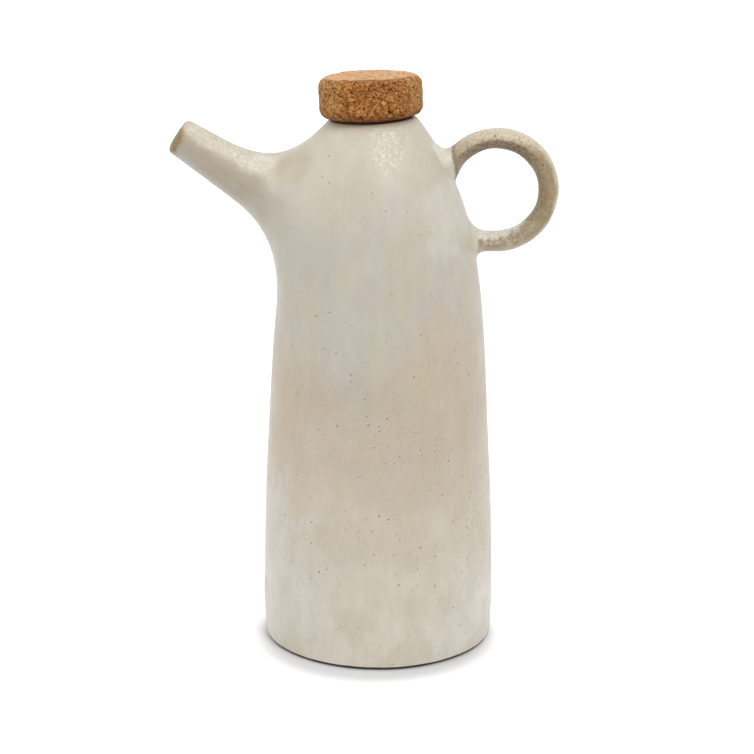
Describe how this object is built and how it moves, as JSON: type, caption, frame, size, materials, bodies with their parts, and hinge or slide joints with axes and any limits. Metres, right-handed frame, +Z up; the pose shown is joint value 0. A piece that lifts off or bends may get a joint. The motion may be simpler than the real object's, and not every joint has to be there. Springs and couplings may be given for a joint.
{
  "type": "oil bottle",
  "caption": "Hand-made stoneware oil bottle with a tapered body, a raised trumpet spout, a round finger ring and a thick cork stopper that lifts out.",
  "frame": {"origin": "centre of the flat foot, on the surface that the bottle stands on", "axes": "+Z up through the body, +X from the spout towards the finger ring, +Y away from the side that the picture shows"},
  "size_m": [0.1535, 0.094, 0.2307],
  "materials": {
    "glaze": "satin, finely speckled",
    "thin_tan_glaze": "satin, thin and tan with brown specks",
    "bare_stoneware": "unglazed, fine and dry",
    "cork": "pressed cork granules, matte"
  },
  "bodies": {
    "bottle": {"body_wall": "glaze", "base_disc": "bare_stoneware", "spout": "glaze", "handle": "thin_tan_glaze", "lower_handle_pad": "glaze", "upper_handle_pad": "glaze"},
    "stopper": {"stopper_head": "cork", "stopper_plug": "cork"}
  },
  "joints": [
    {"name": "stopper_lift", "type": "slide", "parent": "bottle", "child": "stopper", "axis": [-0.0488, 0, 0.9988], "range_m": [0, 0.035]}
  ]
}
